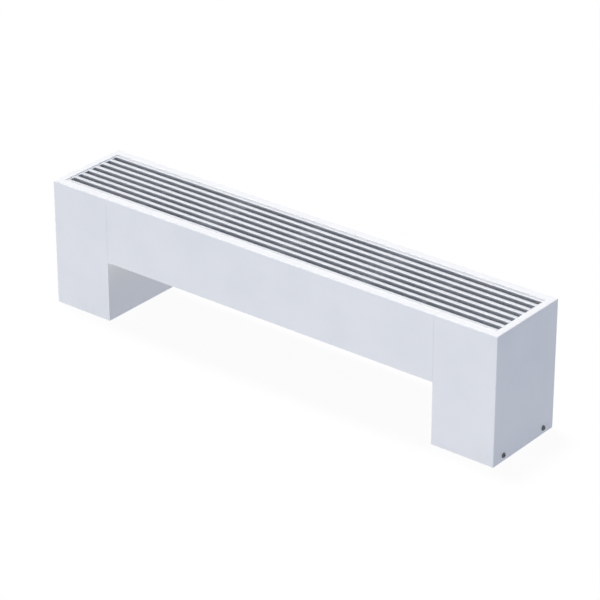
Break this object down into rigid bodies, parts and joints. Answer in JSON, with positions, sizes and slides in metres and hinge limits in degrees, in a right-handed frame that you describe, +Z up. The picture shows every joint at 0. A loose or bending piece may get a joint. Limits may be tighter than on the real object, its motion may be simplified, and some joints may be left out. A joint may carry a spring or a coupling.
{
  "type": "floor-standing convector",
  "caption": "Low water convector on two hollow legs: white folded casing, open lengthwise bar grille on top, finned exchanger in the beam, valve and pipe connections in one leg.",
  "frame": {"origin": "middle of the footprint, on the floor", "axes": "+Z up, +X along the length towards the end with the water connections, front at -Y"},
  "size_m": [1.0054, 0.18, 0.25],
  "materials": {
    "white_paint": "satin white powder coat",
    "anodised_grille": "satin anodised, natural colour",
    "zinc_steel": "zinc plated",
    "screw_steel": "plated",
    "aluminium": "mill finish",
    "dark_steel": "grey primer",
    "brass_fitting": "nickel plated",
    "white_plastic": "fine grained"
  },
  "bodies": {
    "casing": {"front_panel": "white_paint", "back_panel": "white_paint", "right_leg_cover": "white_paint", "left_leg_cover": "white_paint", "right_inner_cheek": "white_paint", "left_inner_cheek": "white_paint", "right_stand": "zinc_steel", "left_stand": "zinc_steel", "right_bulkhead": "zinc_steel", "left_bulkhead": "zinc_steel", "cover_screws": "screw_steel", "brace_1": "zinc_steel", "brace_2": "zinc_steel", "brace_3": "zinc_steel", "exchanger_fins": "aluminium", "flow_tube": "dark_steel", "return_tube": "dark_steel", "turn_header": "dark_steel", "flow_header": "dark_steel", "return_header": "dark_steel", "flow_connector": "brass_fitting", "union_nut": "brass_fitting", "valve_body": "brass_fitting", "return_elbow": "brass_fitting", "bleed_valve": "brass_fitting"},
    "grille": {"grille_bar_1": "anodised_grille", "grille_bar_2": "anodised_grille", "grille_bar_3": "anodised_grille", "grille_bar_4": "anodised_grille", "grille_bar_5": "anodised_grille", "grille_bar_6": "anodised_grille", "grille_bar_7": "anodised_grille", "grille_bar_8": "anodised_grille", "grille_end_bar_left": "anodised_grille", "grille_end_bar_right": "anodised_grille", "grille_cross_bar_1": "anodised_grille", "grille_cross_bar_2": "anodised_grille", "grille_cross_bar_3": "anodised_grille", "grille_cross_bar_4": "anodised_grille", "grille_cross_bar_5": "anodised_grille"},
    "hand_wheel": {"hand_wheel": "white_plastic", "valve_spindle": "screw_steel"},
    "bleed_screw": {"bleed_screw": "screw_steel"}
  },
  "joints": [
    {"name": "grille_lift", "type": "slide", "parent": "casing", "child": "grille", "axis": [0, 0, 1], "range_m": [0, 0.06]},
    {"name": "hand_wheel_turn", "type": "hinge", "parent": "casing", "child": "hand_wheel", "pos_m": [0.43, -0.0375, 0.18], "axis": [0, 0, 1], "range_deg": [0, 720]},
    {"name": "bleed_screw_turn", "type": "hinge", "parent": "casing", "child": "bleed_screw", "pos_m": [0.43, 0.0375, 0.19], "axis": [0, 0, 1], "range_deg": [0, 360]}
  ]
}
